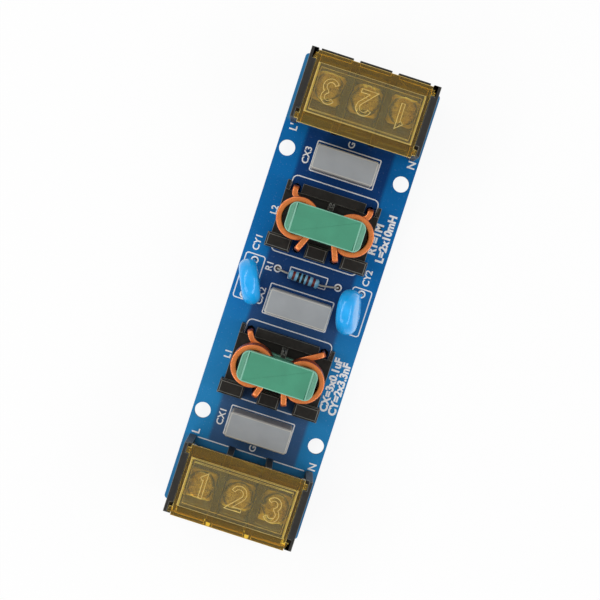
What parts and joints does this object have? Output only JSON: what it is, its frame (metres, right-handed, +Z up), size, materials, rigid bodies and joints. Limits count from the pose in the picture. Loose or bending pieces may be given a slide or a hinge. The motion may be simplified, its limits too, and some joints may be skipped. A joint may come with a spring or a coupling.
{
  "type": "two-stage mains line filter board",
  "caption": "Long narrow circuit board with covered screw terminals at both ends, chokes on upright cores, box and disc capacitors and a bleed resistor.",
  "frame": {"origin": "centre of the mounting-hole pattern on the underside of the board", "axes": "+Y along the board towards the output terminal block, +X towards the neutral side, +Z up out of the component side"},
  "size_m": [0.039, 0.133, 0.0248],
  "materials": {
    "board": "satin blue lacquer on glass laminate",
    "black_moulding": "matte moulded",
    "amber_cover": "clear amber, glossy",
    "terminal_metal": "tinned brass",
    "clamp_plate": "plated steel",
    "screw_metal": "plated steel",
    "green_ferrite": "satin green coating on ferrite",
    "copper_wire": "enamelled copper",
    "grey_case": "satin moulded",
    "lead_wire": "tinned wire",
    "blue_coating": "glossy dipped epoxy",
    "resistor_paint": "lacquer with colour bands",
    "solder": "bright solder"
  },
  "bodies": {
    "board": {"circuit_board": "board", "input_housing": "black_moulding", "input_contact_1": "terminal_metal", "input_contact_2": "terminal_metal", "input_contact_3": "terminal_metal", "output_housing": "black_moulding", "output_contact_1": "terminal_metal", "output_contact_2": "terminal_metal", "output_contact_3": "terminal_metal", "choke_1_base": "black_moulding", "choke_1_core": "green_ferrite", "choke_1_sleeve_left": "black_moulding", "choke_1_winding_left": "copper_wire", "choke_1_sleeve_right": "black_moulding", "choke_1_winding_right": "copper_wire", "choke_2_base": "black_moulding", "choke_2_core": "green_ferrite", "choke_2_sleeve_left": "black_moulding", "choke_2_winding_left": "copper_wire", "choke_2_sleeve_right": "black_moulding", "choke_2_winding_right": "copper_wire", "x_capacitor_1_case": "grey_case", "x_capacitor_1_leads": "lead_wire", "x_capacitor_2_case": "grey_case", "x_capacitor_2_leads": "lead_wire", "x_capacitor_3_case": "grey_case", "x_capacitor_3_leads": "lead_wire", "y_capacitor_1_disc": "blue_coating", "y_capacitor_1_leads": "lead_wire", "y_capacitor_2_disc": "blue_coating", "y_capacitor_2_leads": "lead_wire", "resistor_body": "resistor_paint", "resistor_leads": "lead_wire", "terminal_solder": "solder", "component_solder": "solder"},
    "input_cover": {"input_cover": "amber_cover"},
    "input_clamp_1": {"input_clamp_1": "clamp_plate"},
    "input_screw_1": {"input_screw_1": "screw_metal"},
    "input_clamp_2": {"input_clamp_2": "clamp_plate"},
    "input_screw_2": {"input_screw_2": "screw_metal"},
    "input_clamp_3": {"input_clamp_3": "clamp_plate"},
    "input_screw_3": {"input_screw_3": "screw_metal"},
    "output_cover": {"output_cover": "amber_cover"},
    "output_clamp_1": {"output_clamp_1": "clamp_plate"},
    "output_screw_1": {"output_screw_1": "screw_metal"},
    "output_clamp_2": {"output_clamp_2": "clamp_plate"},
    "output_screw_2": {"output_screw_2": "screw_metal"},
    "output_clamp_3": {"output_clamp_3": "clamp_plate"},
    "output_screw_3": {"output_screw_3": "screw_metal"}
  },
  "joints": [
    {"name": "input_cover_lift", "type": "slide", "parent": "board", "child": "input_cover", "axis": [0, 0, 1], "range_m": [0, 0.012]},
    {"name": "input_clamp_1_lift", "type": "slide", "parent": "board", "child": "input_clamp_1", "axis": [0, 0, 1], "range_m": [0, 0.003]},
    {"name": "input_screw_1_turn", "type": "hinge", "parent": "input_clamp_1", "child": "input_screw_1", "pos_m": [-0.011, -0.0564, 0.0122], "axis": [0, 0, 1], "range_deg": [0, 1543]},
    {"name": "input_clamp_2_lift", "type": "slide", "parent": "board", "child": "input_clamp_2", "axis": [0, 0, 1], "range_m": [0, 0.003]},
    {"name": "input_screw_2_turn", "type": "hinge", "parent": "input_clamp_2", "child": "input_screw_2", "pos_m": [0, -0.0564, 0.0122], "axis": [0, 0, 1], "range_deg": [0, 1543]},
    {"name": "input_clamp_3_lift", "type": "slide", "parent": "board", "child": "input_clamp_3", "axis": [0, 0, 1], "range_m": [0, 0.003]},
    {"name": "input_screw_3_turn", "type": "hinge", "parent": "input_clamp_3", "child": "input_screw_3", "pos_m": [0.011, -0.0564, 0.0122], "axis": [0, 0, 1], "range_deg": [0, 1543]},
    {"name": "output_cover_lift", "type": "slide", "parent": "board", "child": "output_cover", "axis": [0, 0, 1], "range_m": [0, 0.012]},
    {"name": "output_clamp_1_lift", "type": "slide", "parent": "board", "child": "output_clamp_1", "axis": [0, 0, 1], "range_m": [0, 0.003]},
    {"name": "output_screw_1_turn", "type": "hinge", "parent": "output_clamp_1", "child": "output_screw_1", "pos_m": [0.011, 0.0564, 0.0122], "axis": [0, 0, 1], "range_deg": [0, 1543]},
    {"name": "output_clamp_2_lift", "type": "slide", "parent": "board", "child": "output_clamp_2", "axis": [0, 0, 1], "range_m": [0, 0.003]},
    {"name": "output_screw_2_turn", "type": "hinge", "parent": "output_clamp_2", "child": "output_screw_2", "pos_m": [0, 0.0564, 0.0122], "axis": [0, 0, 1], "range_deg": [0, 1543]},
    {"name": "output_clamp_3_lift", "type": "slide", "parent": "board", "child": "output_clamp_3", "axis": [0, 0, 1], "range_m": [0, 0.003]},
    {"name": "output_screw_3_turn", "type": "hinge", "parent": "output_clamp_3", "child": "output_screw_3", "pos_m": [-0.011, 0.0564, 0.0122], "axis": [0, 0, 1], "range_deg": [0, 1543]}
  ],
  "couplings": [
    {"joint": "input_screw_1_turn", "follows": "input_clamp_1_lift", "rad_per_m": 8976},
    {"joint": "input_screw_2_turn", "follows": "input_clamp_2_lift", "rad_per_m": 8976},
    {"joint": "input_screw_3_turn", "follows": "input_clamp_3_lift", "rad_per_m": 8976},
    {"joint": "output_screw_1_turn", "follows": "output_clamp_1_lift", "rad_per_m": 8976},
    {"joint": "output_screw_2_turn", "follows": "output_clamp_2_lift", "rad_per_m": 8976},
    {"joint": "output_screw_3_turn", "follows": "output_clamp_3_lift", "rad_per_m": 8976}
  ]
}
